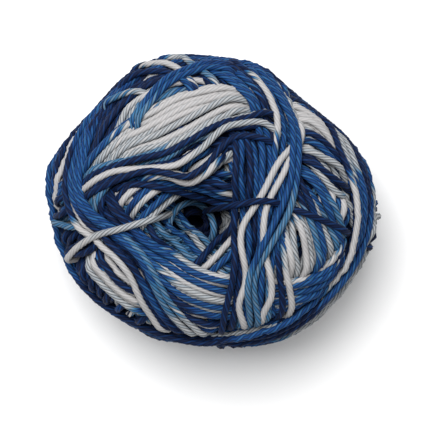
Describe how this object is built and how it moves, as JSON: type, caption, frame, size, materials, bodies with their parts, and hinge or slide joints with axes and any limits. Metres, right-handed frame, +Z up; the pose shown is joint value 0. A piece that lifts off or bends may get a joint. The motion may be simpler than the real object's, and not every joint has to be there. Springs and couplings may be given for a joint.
{
  "type": "wound ball of cotton yarn",
  "caption": "Centre-pull ball of variegated cotton yarn in white, light blue, mid blue and navy, a flattened round lying on one face with an eye in the middle of each face.",
  "frame": {"origin": "on the surface that the ball lies on, under the middle of its bounding box", "axes": "+Z up, along the line of the two eyes; +X along the ball's long way; +Y across it, towards the top of the picture"},
  "size_m": [0.094, 0.0842, 0.0589],
  "materials": {
    "cotton_yarn": "plied cotton yarn, dyed in runs of white, light blue, mid blue and navy, with a soft sheen"
  },
  "bodies": {
    "root": {"yarn_ball": "cotton_yarn"}
  },
  "joints": []
}
